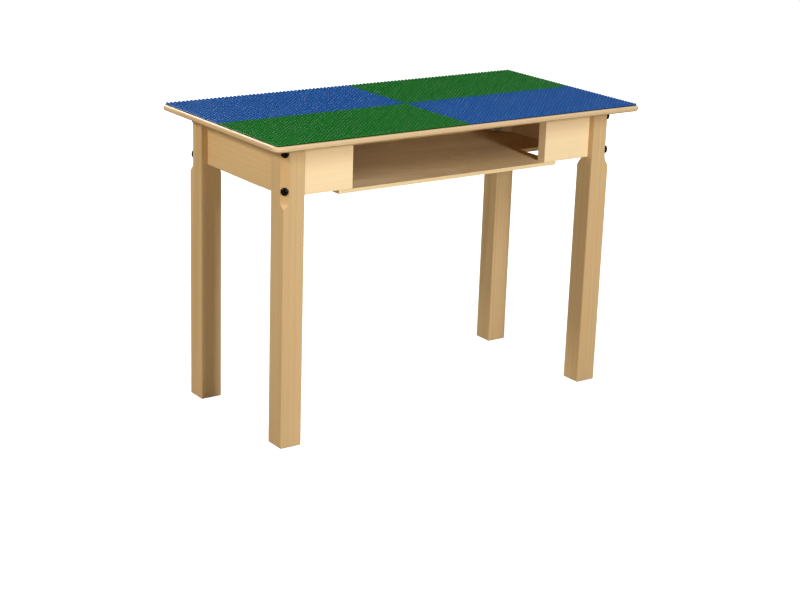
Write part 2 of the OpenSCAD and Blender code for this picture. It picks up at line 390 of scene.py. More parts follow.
@dataclass(frozen=True)
class Timber(Finish):
    """Planed solid wood under clear matt lacquer, with one log's growth rings.

    Attributes:
        figure: Strength of the rings on the long faces.
        ends: How much darker the end grain is. A negative value draws the end faces paler, as
            painted light.
        flat_shade: Painted shade: how much darker the flats cut across a corner are drawn, for the
            extra light they catch.
        pith: Middle of the log, and how far it wanders between boards.
    """

    pale: Colour
    dark: Colour
    warm: Colour
    grain: Grain
    ring: float = 3.2 * MM
    figure: float = 1.0
    ends: float = 0.45
    flat_shade: float = 0.0
    rough: float = 0.42
    pith: tuple[Triple, Triple] = ((0.11, 0.07, -0.16), (0.05, 0.03, 0.04))
    lacquer: Lacquer = Lacquer(0.28)

    def _fill(self, g: Graph, place: Signal, shift: Vector, board: int) -> Material:
        """Fills the tree of one board."""
        bend = g.noise(g.scaled(place, self.grain.stretched(11.0, 1.5), shift), 3.0)
        pith = Vector(self.pith[0]) + Vector(self.pith[1]) * math.sin(2.4 * board)
        flat = self.grain.stretched(1.0, 0.012)
        radius = g.add(
            "VectorMath",
            {"operation": "LENGTH"},
            {0: g.scaled(place, flat, tuple(-p for p in pith))},
            "Value",
        )
        growth = g.noise(radius / self.ring + bend * 7.0 + board, 3.0, 0.6, line=True)
        fibre = g.noise(g.scaled(place, self.grain.stretched(640.0, 8.0), shift), 4.0, 0.62)
        fleck = g.noise(g.scaled(place, self.grain.stretched(1500.0, 190.0), shift), 1.0)
        tone = g.noise(g.scaled(place, self.grain.stretched(14.0, 1.4), shift), 3.0)
        blush = g.noise(g.scaled(place, self.grain.stretched(30.0, 4.0), shift * 2), 2.0)
        facing = g.parts(g.add("NewGeometry", output="Normal"))
        end_grain = abs(facing[self.grain.value]).step(0.55, 0.9)
        # Painted shade on the flats cut across a leg's corner, which face two lamps.
        corner = abs(facing[0] * facing[1]).step(0.36, 0.46)
        pores = fleck.step(0.63, 0.74)
        dark_share = (
            (growth - 0.5) * self.figure
            + (fibre - 0.5) * 0.5
            + (tone - 0.5) * 1.1
            + pores * 0.14
            + end_grain * (self.ends + (growth - 0.5) * 1.2)
            + corner * self.flat_shade
            + 0.38
        )
        colour = g.blend(
            g.blend(self.pale, self.dark, dark_share), self.warm, blush.step(0.42, 0.75) * 0.55
        )
        rough = self.rough + (fibre - 0.5) * 0.22 + end_grain * 0.2
        relief = fibre * 0.6 + fleck.step(0.74, 0.60) * 0.4 - growth * 0.25
        return self.lacquer.over(g, colour, rough, relief, end_grain * 0.1)


@dataclass(frozen=True)
class Plywood(Finish):
    """Birch-faced board: a peeled veneer on its faces, thin plies on its edges.

    Attributes:
        ply: Thickness of a ply.
        bottom: Height of the underside.
        backing: How much darker the veneer of the underside is.
        lines: How many year lines the veneer's figure has.
    """

    stride: ClassVar[Triple] = (2.3, 4.1, 0.7)
    pale: Colour
    dark: Colour
    ply: float
    bottom: float
    backing: float = 0.0
    rough: float = 0.46
    lines: float = 34.0
    lacquer: Lacquer = Lacquer(0.30)

    def _fill(self, g: Graph, place: Signal, shift: Vector, _: int) -> Material:
        """Fills the tree of one board."""
        figure = g.noise(g.scaled(place, (1.5, 7.0, 0.0), shift), 2.5, 0.45)
        line = g.noise(figure * self.lines, 3.0, 0.6, line=True)
        fibre = g.noise(g.scaled(place, (10.0, 560.0, 560.0), shift), 4.0, 0.6)
        end_fibre = g.noise(g.scaled(place, (420.0, 420.0, 1200.0), shift), 3.0, 0.6)
        tone = g.noise(g.scaled(place, (2.0, 11.0, 3.0), shift), 2.0)
        _, _, height = g.parts(place)
        _, _, facing = g.parts(g.add("NewGeometry", output="Normal"))
        edge = abs(facing).step(0.93, 0.80)
        # Painted highlight: the upward-facing rounding of each edge is drawn paler.
        painted_top_edge_light = facing.step(0.30, 0.75) * edge
        # Painted shade: the downward-facing rounding of each edge is drawn darker.
        painted_under_edge_shade = facing.step(-0.05, -0.60) * edge
        raw = facing.step(-0.93, -0.98)
        layer = ((height - self.bottom) / (2 * self.ply)).fraction()
        cross = layer.step(0.49, 0.51) * layer.step(1.0, 0.98)
        glue = layer.step(0.46, 0.50) * layer.step(0.54, 0.50) + layer.step(0.97, 1.0)
        dark_share = (
            (1 - edge) * ((line - 0.5) * 0.55 + (fibre - 0.5) * 0.5 + 0.30)
            + edge * (cross * (0.22 + (end_fibre - 0.5) * 0.8) + glue * 0.20)
            + edge * (1 - cross) * (fibre - 0.5) * 0.5
            + (tone - 0.5) * 0.6
            - painted_top_edge_light * 0.20
            + painted_under_edge_shade * 0.40
            + raw * self.backing
            + edge * 0.12
            + 0.24
        )
        colour = g.blend(self.pale, self.dark, dark_share)
        open_ends = edge * cross
        rough = self.rough + (fibre - 0.5) * 0.2 + open_ends * 0.1
        relief = fibre * (1 - open_ends) + end_fibre * open_ends * 1.4
        return self.lacquer.over(g, colour, rough, relief, open_ends * 0.08)


@dataclass(frozen=True)
class Moulding(Finish):
    """Moulded plastic: faint flow marks, a fine skin, rubbed high spots, and painted shade on the
    plate's edge.

    Attributes:
        worn: Colour of rubbed high spots.
        shade: Painted shade on the plate's edge and underside below its face.
        foot: Height of the underside.
        plate: Height of the face between the studs.
        crown: Height of the studs' ends.
    """

    stride: ClassVar[Triple] = (1.3, 2.9, 0.4)
    colour: Colour
    worn: Colour
    shade: Colour
    foot: float
    plate: float
    crown: float
    rough: float = 0.36
    gloss: float = 0.12
    ior: float = 1.53
    depth: float = 0.02 * MM

    def _fill(self, g: Graph, place: Signal, shift: Vector, _: int) -> Material:
        """Fills the tree of one plate."""
        flow = g.noise(g.scaled(place, (7.0,) * 3, shift), 3.0)
        handled = g.noise(g.scaled(place, (23.0,) * 3, shift), 4.0, 0.6)
        skin = g.noise(g.scaled(place, (2600.0,) * 3, shift))
        scratch = g.noise(g.scaled(place, (900.0, 30.0, 40.0), shift), 3.0, 0.7)
        _, _, height = g.parts(place)
        crown = height.step(self.crown - 0.4 * MM, self.crown)
        cut = scratch.step(0.66, 0.74) * crown
        share = crown * handled.step(0.40, 0.72) * 0.22 + (flow - 0.5) * 0.18 + cut * 0.22
        # Painted shade: the plate's edge below its face is drawn dark, as the shade along its side.
        painted_edge_shade = height.step(self.plate, self.plate + (self.foot - self.plate) * 0.4)
        colour = g.blend(g.blend(self.colour, self.worn, share), self.shade, painted_edge_shade)
        sockets = {
            "Base Color": colour,
            "Specular IOR Level": self.gloss,
            "Roughness": self.rough + (handled - 0.5) * 0.22 + scratch.step(0.62, 0.74) * 0.12,
            "Normal": g.relief((skin - cut) * 0.5, self.depth),
            "IOR": self.ior,
        }
        return g.finish(g.add("BsdfPrincipled", sockets=sockets))


@dataclass(frozen=True)
class Metal:
    """Turned steel under a thin coat, bright where it is rubbed."""

    name: str
    coat: Colour
    bare: Colour
    metallic: float
    rough: float
    gloss: float = 0.5
    depth: float = 0.03 * MM

    def material(self) -> Material:
        """Makes the finish."""
        g = Graph(bpy.data.materials.new(self.name))
        place = g.place()
        cloud = g.noise(g.scaled(place, (260.0,) * 3, (0.0,) * 3), 4.0, 0.6)
        speck = g.noise(g.scaled(place, (2400.0,) * 3, (5.0,) * 3))
        rub = speck.step(0.62, 0.76) * 0.4 + cloud.step(0.55, 0.80) * 0.2
        sockets = {
            "Base Color": g.blend(self.coat, self.bare, rub),
            "Metallic": self.metallic,
            "Specular IOR Level": self.gloss,
            "Roughness": self.rough + (cloud - 0.5) * 0.25,
            "Normal": g.relief(speck * 0.4 + cloud * 0.6, self.depth),
        }
        return g.finish(g.add("BsdfPrincipled", sockets=sockets))


def dress(node: str, material: Material) -> None:
    """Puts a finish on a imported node, whose shape stays as it is.

    Args:
        node: The node's name.
        material: Its finish.
    """
    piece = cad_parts[node]
    for slot in piece.material_slots:
        slot.link = "OBJECT"
        slot.material = material
    log.info("dressed %s with %s", node, material.name)


# Meshes.


class Skin:
    """Points and faces of a mesh while it is laid out ring by ring."""

    def __init__(self) -> None:
        """Starts with nothing."""
        self.points: list[Vector] = []
        self.faces: list[Sequence[int]] = []

    def ring(self, points: Iterable[Vector]) -> list[int]:
        """Adds points.

        Args:
            points: Their places.

        Returns:
            Their numbers.
        """
        start = len(self.points)
        self.points.extend(points)
        return list(range(start, len(self.points)))

    def wall(self, lower: Sequence[int], upper: Sequence[int]) -> None:
        """Joins two closed rings of equal count with four-sided faces.

        Args:
            lower: Numbers of the first ring, anticlockwise as seen from the second.
            upper: Numbers of the second.
        """
        count = len(lower)
        for k in range(count):
            n = (k + 1) % count
            self.faces.append((lower[k], lower[n], upper[n], upper[k]))

    def turned(
        self, profile: Profile, sides: int, places: Iterable[Matrix], hollow: bool = False
    ) -> "Skin":
        """Adds equal turned solids.

        Args:
            profile: Height and radius of each ring. A radius may depend on the angle.
            sides: Points round each ring.
            places: Where the solids stand.
            hollow: True where the last ring closes on the first instead of capping.

        Returns:
            This mesh.
        """
        angles = [2 * math.pi * k / sides for k in range(sides)]
        for place in places:
            rings = []
            for height, radius in profile:
                reach = [radius(a) if callable(radius) else radius for a in angles]
                rings.append(
                    self.ring(
                        place @ Vector((r * math.cos(a), r * math.sin(a), height))
                        for r, a in zip(reach, angles)
                    )
                )
            for lower, upper in zip(rings, rings[1:]):
                self.wall(lower, upper)
            if hollow:
                self.wall(rings[-1], rings[0])
            else:
                self.faces += [tuple(reversed(rings[0])), tuple(rings[-1])]
        return self

    def piece(
        self, name: str, nodes: Sequence[str], slot: str, material: Material
    ) -> bpy.types.Object:
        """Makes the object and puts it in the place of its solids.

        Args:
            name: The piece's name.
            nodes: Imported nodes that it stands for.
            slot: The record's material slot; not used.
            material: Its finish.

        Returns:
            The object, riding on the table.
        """
        mesh = bpy.data.meshes.new(name)
        mesh.from_pydata([tuple(p) for p in self.points], [], self.faces)
        mesh.shade_smooth()
        mesh.materials.append(material)
        obj = bpy.data.objects.new(name, mesh)
        bpy.context.scene.collection.objects.link(obj)
        obj.modifiers.new("even_normals", "WEIGHTED_NORMAL")
        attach(obj, BODY)
        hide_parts(*nodes)
        log.info("built %s: %d faces, for %s", name, len(self.faces), ", ".join(nodes))
        return obj


def hexagon(apothem: float, reach: float = math.inf) -> Radius:
    """Radius of a hexagon at each angle.

    Args:
        apothem: Distance from its middle to a side.
        reach: Radius beyond which its corners are turned off.

    Returns:
        The function from angle to radius.
    """
    side = math.pi / 3

    def radius(angle: float) -> float:
        """Radius at one angle."""
        return min(apothem / math.cos(angle % side - side / 2), reach)

    return radius


def thread(
    start: float,
    end: float,
    crest: float,
    root: float,
    pitch: float,
    steps: int = 6,
    flank: float = 5 / 16,
) -> Profile:
    """Rings of a screw thread that turns once per pitch.

    Args:
        start: Height at which the thread begins.
        end: Height at which it ends.
        crest: Outer radius.
        root: Inner radius.
        pitch: Rise of one turn.
        steps: Rings to a turn.
        flank: Share of the pitch that each flank takes up.

    Returns:
        The rings, with radii that depend on the angle.
    """

    def at(height: float) -> Radius:
        """Radius round one ring."""
        fade = min(1.0, (height - start) / pitch, (end - height) / pitch)

        def radius(angle: float) -> float:
            """Radius at one angle."""
            phase = (height / pitch - angle / (2 * math.pi)) % 1.0
            ridge = min(1.0, (0.5 - abs(phase - 0.5)) / flank)
            return root + (crest - root) * ridge * fade

        return radius

    count = max(2, round((end - start) / pitch * steps))
    heights = [start + (end - start) * k / count for k in range(count + 1)]
    return [(height, at(height)) for height in heights]


# Stud plates.


@dataclass
class StudPlate:
    """One moulded plate of the top, with a stud in the middle of every square cell."""

    side: str
    sx: int
    sy: int
    finish: Moulding
    slot: str
    studs_long: int = 48
    studs_wide: int = 24
    stud_d: float = 4.8 * MM
    stud_h: float = 1.8 * MM
    stud_bevel: float = 0.28 * MM
    edge_bevel: float = 0.25 * MM
    corner_r: float = 6.5 * MM
    gap: float = 0.2 * MM
    sides: int = 16

    def __post_init__(self) -> None:
        """Reads the plate's place from the frame."""
        self.node = f"stud_plate_{self.side}"
        low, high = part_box(self.node)
        self.pitch = (high.x - low.x + self.gap) / self.studs_long
        self.bottom, self.top = low.z, high.z - self.stud_h

    def at(self, u: float, v: float, z: float) -> Vector:
        """World place of a point measured inwards from the table's corner.

        Args:
            u: Distance along the table's length.
            v: Distance along its width.
            z: Height.

        Returns:
            The place.
        """
        length, width = self.studs_long * self.pitch, self.studs_wide * self.pitch
        return Vector((self.sx * (length - u), self.sy * (width - v), z))

    def held(self, u: float, v: float, inset: float) -> tuple[float, float]:
        """Moves a point of the cell pattern to the plate's outline if it lies beyond it.

        Args:
            u: Distance along the length from the table's corner.
            v: Distance along the width.
            inset: How far inside the outline the point has to be.

        Returns:
            The two distances.
        """
        low = self.gap / 2 + inset
        u = min(max(u, low), self.studs_long * self.pitch - low)
        v = min(max(v, low), self.studs_wide * self.pitch - low)
        centre = self.gap / 2 + self.corner_r
        du, dv = u - centre, v - centre
        if du < 0 and dv < 0 and math.hypot(du, dv) > self.corner_r - inset:
            share = (self.corner_r - inset) / math.hypot(du, dv)
            u, v = centre + du * share, centre + dv * share
        return u, v

    def border(self) -> list[tuple[float, float]]:
        """Points of the cell pattern on the plate's edge, anticlockwise in its own plane."""
        half = self.pitch / 2
        cols, rows = 2 * self.studs_long, 2 * self.studs_wide
        around = [(a, 0) for a in range(2, cols)]
        around += [(cols, b) for b in range(rows)]
        around += [(a, rows) for a in range(cols, 0, -1)]
        around += [(0, b) for b in range(rows, 1, -1)]
        around += [(0, 2 - k / 4) for k in range(1, 8)] + [(k / 4, 0) for k in range(8)]
        return [(a * half, b * half) for a, b in around]

    def build(self, number: int) -> bpy.types.Object:
        """Makes the plate.

        Args:
            number: Number of the plate, which shifts its marks.

        Returns:
            The object.
        """
        skin = Skin()
        edge = self.border()
        bevel = self.edge_bevel
        top, rim, foot = (
            skin.ring(self.at(*self.held(u, v, inset), z) for u, v in edge)
            for inset, z in ((bevel, self.top), (0.0, self.top - bevel), (0.0, self.bottom))
        )
        skin.wall(rim, top)
        skin.wall(foot, rim)
        skin.faces.append(tuple(reversed(foot)))
        known = {self._key(u, v): point for (u, v), point in zip(edge, top)}
        for i in range(self.studs_long):
            for j in range(self.studs_wide):
                self._cell(skin, known, i, j)
        if self.sx * self.sy < 0:
            skin.faces = [tuple(reversed(face)) for face in skin.faces]
        name = f"moulded_plate_{self.side}"
        return skin.piece(name, [self.node], self.slot, self.finish.material(number))

    def _key(self, u: float, v: float) -> tuple[int, int]:
        """Number of a point of the cell pattern, counted in eighths of a cell."""
        return round(8 * u / self.pitch), round(8 * v / self.pitch)

    def _cell(self, skin: Skin, known: dict[tuple[int, int], int], i: int, j: int) -> None:
        """Adds one cell: the plate round a stud, and the stud.

        Only the round corner has border points between those of the cell pattern.

        Args:
            skin: The mesh.
            known: Numbers of the points on the cells' borders, filled as they are met.
            i: The cell's place along the length.
            j: The cell's place along the width.
        """
        around = [(0, 0), (1, 0), (2, 0), (2, 1), (2, 2), (1, 2), (0, 2), (0, 1)]
        corners = []
        for a, b in around:
            u, v = (i + a / 2) * self.pitch, (j + b / 2) * self.pitch
            key = self._key(u, v)
            if key not in known:
                known[key] = skin.ring([self.at(u, v, self.top)])[0]
            corners.append(known[key])
        centre = ((i + 0.5) * self.pitch, (j + 0.5) * self.pitch)
        r, crown = self.stud_d / 2, self.top + self.stud_h
        base = self._circle(skin, centre, r, self.top)
        neck = self._circle(skin, centre, r, crown - self.stud_bevel)
        face = self._circle(skin, centre, r - self.stud_bevel, crown)
        skin.wall(base, neck)
        skin.wall(neck, face)
        skin.faces.append(tuple(face))
        step = self.sides // 8
        for k in range(8):
            (a, b), (c, d) = around[k], around[(k + 1) % 8]
            between = [
                (8 * i + 4 * a + (c - a) * q, 8 * j + 4 * b + (d - b) * q) for q in (1, 2, 3)
            ]
            run = [known[key] for key in between if key in known]
            arc = [base[(step * k + s) % self.sides] for s in range(step, -1, -1)]
            skin.faces.append((corners[k], *run, corners[(k + 1) % 8], *arc))

    def _circle(
        self, skin: Skin, centre: tuple[float, float], radius: float, z: float
    ) -> list[int]:
        """Adds a ring of a stud, starting towards the cell's first corner."""
        turns = [math.radians(225) + 2 * math.pi * k / self.sides for k in range(self.sides)]
        return skin.ring(
            self.at(centre[0] + radius * math.cos(t), centre[1] + radius * math.sin(t), z)
            for t in turns
        )


# Wooden parts.


@dataclass
class Woodwork:
    """Top, legs, aprons, shelf and blocks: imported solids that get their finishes."""

    top_plies: int = 7
    top_backing: float = 0.9
    shelf_plies: int = 5
    # Painted shade on the legs' corner flats.
    leg_flat_shade: float = 0.7
    apron_figure: float = 0.6
    panel_figure: float = 0.7
    # Painted light: the panels' end faces are drawn paler than their face grain, standing in for
    # light inside the opening.
    panel_end_light: float = -0.2
    leg: tuple[Colour, Colour, Colour] = (
        srgb(214, 184, 138), srgb(192, 156, 106), srgb(212, 171, 124)
    )
    apron: tuple[Colour, Colour, Colour] = (
        srgb(222, 190, 140), srgb(204, 167, 116), srgb(216, 176, 128)
    )
    panel: tuple[Colour, Colour, Colour] = (
        srgb(250, 226, 183), srgb(236, 204, 156), srgb(244, 212, 170)
    )
    top: tuple[Colour, Colour] = (srgb(230, 204, 162), srgb(184, 146, 102))
    shelf: tuple[Colour, Colour] = (srgb(254, 234, 196), srgb(204, 164, 96))

    @staticmethod
    def plywood(
        name: str, node: str, plies: int, colours: tuple[Colour, Colour], backing: float = 0.0
    ) -> Plywood:
        """Plywood that fits a packed board.

        Args:
            name: The finish's name.
            node: The board.
            plies: How many plies it has.
            colours: Its pale and its dark wood.
            backing: How much darker the veneer of its underside is.

        Returns:
            The finish.
        """
        low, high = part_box(node)
        return Plywood(name, *colours, (high.z - low.z) / plies, low.z, backing)

    def dress(self) -> None:
        """Gives every wooden node its finish."""
        top = self.plywood("top_plywood", "tabletop", self.top_plies, self.top, self.top_backing)
        shelf = self.plywood("shelf_plywood", "storage_shelf", self.shelf_plies, self.shelf)
        leg = Timber("leg_wood", *self.leg, Grain.ALONG_Z, flat_shade=self.leg_flat_shade)
        block = Timber("block_wood", *self.leg, Grain.ALONG_Z)
        apron = Timber("apron_wood", *self.apron, Grain.ALONG_Y, figure=self.apron_figure)
        panel = Timber(
            "panel_wood", *self.panel, Grain.ALONG_X, figure=self.panel_figure, ends=self.panel_end_light
        )
        corners = ("front_left", "front_right", "back_left", "back_right")
        boards: list[tuple[str, Finish]] = [("tabletop", top), ("storage_shelf", shelf)]
        boards += [(f"leg_{corner}", leg) for corner in corners]
        boards += [(f"corner_block_{corner}", block) for corner in corners]
        boards += [("apron_left_end", apron), ("apron_right_end", apron)]
        boards += [(name, panel) for name in ("front_panel_left", "front_panel_right", "apron_back")]
        for number, (node, finish) in enumerate(boards, 1):
            dress(node, finish.material(number))


# Fasteners.


@dataclass
class Joinery:
    """Bolts, washers, nuts and screws, each in the place of its solid."""

    leg_flat: float = 11 * MM
    block_t: float = 28 * MM
    block_end: float = 5 * MM
    bolt_edge: float = 12.5 * MM
    bolt_d: float = 8 * MM
    bolt_bore: float = 8.5 * MM
    head_d: float = 13.5 * MM
    head_h: float = 4.6 * MM
    rim_h: float = 2.2 * MM
    dome_rings: int = 8
    socket_w: float = 5 * MM
    socket_depth: float = 2.4 * MM
    washer_d: float = 20 * MM
    washer_t: float = 1.6 * MM
    nut_w: float = 13 * MM
    nut_h: float = 6.5 * MM
    bolt_end: float = 2 * MM
    thread_l: float = 16 * MM
    thread_pitch: float = 1.25 * MM
    thread_depth: float = 0.61
    screw_d: float = 4 * MM
    screw_root_d: float = 2.8 * MM
    screw_pitch: float = 1.8 * MM
    screw_head_d: float = 8 * MM
    screw_head_h: float = 2.6 * MM
    screw_tip: float = 4 * MM
    screw_plain: float = 0.3
    screw_steps: int = 5
    block_grip: float = 7 * MM
    block_bite: float = 13 * MM
    shelf_bite: float = 24 * MM
    shelf_lap: float = 27 * MM
    pocket_grip: float = 17 * MM
    pocket_bite: float = 7 * MM
    pocket_tilt: float = math.radians(15)
    bolt_sides: int = 36
    washer_sides: int = 40
    nut_sides: int = 48
    screw_sides: int = 24
    black: Metal = Metal("black_oxide", srgb(9, 6, 4), srgb(26, 19, 14), 0.1, 0.34, 0.14)
    zinc: Metal = Metal("zinc_plate", srgb(136, 125, 104), srgb(176, 165, 141), 1.0, 0.38)
    corners: tuple[tuple[int, int], ...] = ((-1, -1), (1, -1), (-1, 1), (1, 1))

    def __post_init__(self) -> None:
        """Reads the boards' places from the frame."""
        leg_low, leg_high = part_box("leg_front_left")
        leg_w = leg_high.x - leg_low.x
        self.leg_x, self.leg_y = -leg_low.x, -leg_low.y
        panel_low, panel_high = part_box("front_panel_right")
        self.apron_bottom, self.apron_top = panel_low.z, panel_high.z
        self.inner_face = self.leg_y + panel_high.y
        self.panel_low_x, self.panel_high_x = panel_low.x, panel_high.x
        self.apron_mid_y = -(panel_low.y + panel_high.y) / 2
        end_low, end_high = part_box("apron_right_end")
        self.end_mid_x = (end_low.x + end_high.x) / 2
        self.end_span = end_high.y - end_low.y
        shelf_low, shelf_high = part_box("storage_shelf")
        self.shelf_bottom, self.shelf_t = shelf_low.z, shelf_high.z - shelf_low.z
        self.far = 2 * leg_w - self.leg_flat + self.block_t * math.sqrt(2)

    def at(self, corner: tuple[int, int], x: float, y: float, z: float) -> Vector:
        """World place of a point measured inwards from a leg's outer edge."""
        sx, sy = corner
        return Vector((sx * (self.leg_x - x), sy * (self.leg_y - y), z))

    def pose(self, place: Vector, towards: Vector) -> Matrix:
        """Matrix that stands a solid's +Z along a direction.

        Args:
            place: Where its origin goes.
            towards: Where +Z points.

        Returns:
            The matrix.
        """
        turn = Vector((0, 0, 1)).rotation_difference(towards.normalized())
        return Matrix.Translation(place) @ turn.to_matrix().to_4x4()

    def bolt_lines(self, depth: float) -> list[Matrix]:
        """Places on the eight bolts' lines.

        Args:
            depth: Distance along the line from the leg's outer edge.

        Returns:
            One matrix to a bolt, with +Z pointing inwards.
        """
        heights = (self.apron_bottom + self.bolt_edge, self.apron_top - self.bolt_edge)
        step = depth / math.sqrt(2)
        return [
            self.pose(self.at(corner, step, step, z), Vector((-corner[0], -corner[1], 0)))
            for corner in self.corners
            for z in heights
        ]

    def bolt_profile(self) -> Profile:
        """Rings of a bolt from the bottom of its socket over the dome to its end."""
        rise = self.head_h - self.rim_h
        head, shank, bevel = self.head_d / 2, self.bolt_d / 2, 0.25 * MM
        dome_r = (head**2 + rise**2) / (2 * rise)
        socket = self.socket_w / 2
        mouth = socket + bevel
        grip = (self.far - self.leg_flat) / math.sqrt(2)
        end = grip + self.washer_t + self.nut_h + self.bolt_end
        rings: Profile = [
            (-self.head_h + self.socket_depth + 0.5 * MM, 0.4 * MM),
            (-self.head_h + self.socket_depth, hexagon(socket)),
            (-self.head_h + 0.45 * MM, hexagon(socket)),
        ]
        start = mouth / math.cos(math.pi / 6)
        for k in range(self.dome_rings + 1):
            r = start + (head - 0.3 * MM - start) * k / self.dome_rings
            z = -self.rim_h - (math.sqrt(dome_r**2 - r**2) - (dome_r - rise))
            rings.append((z, r if k else hexagon(mouth)))
        root, pitch = shank - self.thread_depth * self.thread_pitch, self.thread_pitch
        return [
            *rings,
            (-self.rim_h + 0.1 * MM, head - 0.05 * MM),
            (-self.rim_h + 0.35 * MM, head),
            (-bevel, head),
            (0.0, head - bevel),
            (0.0, shank + 0.05 * MM),
            (0.3 * MM, shank),
            *thread(end - self.thread_l, end - 0.6 * MM, shank, root, pitch),
            (end, root - 0.3 * MM),
        ]

    def nut_profile(self) -> Profile:
        """Rings of a hexagon nut with turned corners and a threaded bore."""
        flat, tip = self.nut_w / 2, self.nut_w / 2 / math.cos(math.pi / 6)
        bore = self.bolt_bore / 2
        outer = [
            (0.0, hexagon(flat, flat * 0.97)),
            (0.35 * MM, hexagon(flat, (flat + tip) / 2)),
            (0.9 * MM, hexagon(flat)),
        ]
        inner = [(0.4 * MM, bore), (0.0, bore + 0.35 * MM)]
        over = [(self.nut_h - z, reach) for z, reach in reversed(inner + outer)]
        return outer + over + inner

    def washer_profile(self) -> Profile:
        """Rings of a stamped washer: one edge rolled over, the other sharp."""
        outer, bore, t = self.washer_d / 2, self.bolt_bore / 2, self.washer_t
        return [
            (0.0, outer - 0.15 * MM),
            (0.15 * MM, outer),
            (t - 0.45 * MM, outer),
            (t - 0.12 * MM, outer - 0.14 * MM),
            (t, outer - 0.5 * MM),
            (t, bore + 0.2 * MM),
            (t - 0.2 * MM, bore),
            (0.0, bore),
        ]

    def screw_profile(self, length: float) -> Profile:
        """Rings of a wood screw, from the bottom of its cross recess to its point.

        Args:
            length: Length under the head.

        Returns:
            The rings, with +Z from the head to the point.
        """
        h, r = self.screw_head_h, self.screw_head_d / 2

        def cross(arm: float, width: float) -> Radius:
            """Outline of the cross recess."""

            def radius(angle: float) -> float:
                """Radius at one angle."""
                turned = abs((angle + math.pi / 4) % (math.pi / 2) - math.pi / 4)
                return min(arm, width / max(math.sin(turned), 1e-6))

            return radius

        shank, root = self.screw_d / 2, self.screw_root_d / 2
        start, end = length * self.screw_plain, length - self.screw_tip
        return [
            (1.5 * MM - h, cross(0.55 * MM, 0.28 * MM)),
            (0.12 * MM - h, cross(1.95 * MM, 0.48 * MM)),
            (-h, cross(2.1 * MM, 0.56 * MM)),
            (-h, 2.6 * MM),
            (0.15 * MM - h, r - 0.35 * MM),
            (0.5 * MM - h, r),
            (-0.3 * MM, r),
            (0.0, r - 0.2 * MM),
            (0.0, shank + 0.2 * MM),
            (0.4 * MM, shank * 0.8),
            *thread(start, end, shank, root, self.screw_pitch, self.screw_steps),
            (length - 0.02 * MM, 0.15 * MM),
            (length, 0.05 * MM),
        ]

    def block_screw_places(self) -> list[Matrix]:
        """Places of the sixteen screws through the corner blocks, heads outwards."""
        along = self.far - self.inner_face - self.block_end - self.screw_head_d
        first, last = self.apron_bottom + self.bolt_edge, self.apron_top - self.bolt_edge
        heights = [first + (last - first) * k / 3 for k in (1, 2)]
        seat = self.inner_face + self.block_grip
        return [
            self.pose(self.at(corner, x, y, z), Vector(out))
            for corner in self.corners
            for z in heights
            for x, y, out in ((along, seat, (0, corner[1], 0)), (seat, along, (corner[0], 0, 0)))
        ]

    def shelf_screw_places(self) -> list[Matrix]:
        """Places of the six screws up through the shelf."""
        tongue = self.panel_low_x + self.shelf_lap
        z = self.shelf_bottom + self.screw_head_h
        spots = [(s * (tongue - self.shelf_lap / 2), -self.apron_mid_y) for s in (-1, 1)]
        spots += [(s * k * tongue / 4, self.apron_mid_y) for s in (-1, 1) for k in (1, 3)]
        return [self.pose(Vector((x, y, z)), Vector((0, 0, 1))) for x, y in spots]

    def pocket_screw_places(self) -> list[Matrix]:
        """Places of the nine tilted screws that hold the top."""
        lean, rise = math.sin(self.pocket_tilt), math.cos(self.pocket_tilt)
        span = 2 * self.panel_high_x
        mid_panel = (self.panel_low_x + self.panel_high_x) / 2
        lines = [((k * span / 3, self.apron_mid_y), (0, lean)) for k in (-1, 0, 1)]
        for s in (-1, 1):
            lines.append(((s * mid_panel, -self.apron_mid_y), (0, -lean)))
            for t in (-1, 1):
                lines.append(((s * self.end_mid_x, t * self.end_span / 8), (s * lean, 0)))
        places = []
        for (x, y), (dx, dy) in lines:
            up = Vector((dx, dy, rise))
            places.append(self.pose(Vector((x, y, self.apron_top)) - up * self.pocket_grip, up))
        return places

    def build(self) -> None:
        """Makes all the fasteners."""
        black, zinc = self.black.material(), self.zinc.material()
        flat, block = self.leg_flat / math.sqrt(2), self.far / math.sqrt(2)
        bolts = Skin().turned(self.bolt_profile(), self.bolt_sides, self.bolt_lines(flat))
        bolts.piece("domed_bolts", ["leg_bolts"], "black_steel", black)
        seats = self.bolt_lines(block)
        washers = Skin().turned(self.washer_profile(), self.washer_sides, seats, hollow=True)
        washers.piece("plain_washers", ["bolt_washers"], "zinc_steel", zinc)
        seats = self.bolt_lines(block + self.washer_t)
        nuts = Skin().turned(self.nut_profile(), self.nut_sides, seats, hollow=True)
        nuts.piece("hexagon_nuts", ["bolt_nuts"], "zinc_steel", zinc)
        block_l, pocket_l = self.block_grip + self.block_bite, self.pocket_grip + self.pocket_bite
        shelf_l = self.shelf_t - self.screw_head_h + self.shelf_bite
        for name, node, places, length in (
            ("block_wood_screws", "corner_block_screws", self.block_screw_places(), block_l),
            ("shelf_wood_screws", "shelf_screws", self.shelf_screw_places(), shelf_l),
            ("pocket_wood_screws", "tabletop_screws", self.pocket_screw_places(), pocket_l),
        ):
            screws = Skin().turned(self.screw_profile(length), self.screw_sides, places)
            screws.piece(name, [node], "zinc_steel", zinc)


# Studio and camera.


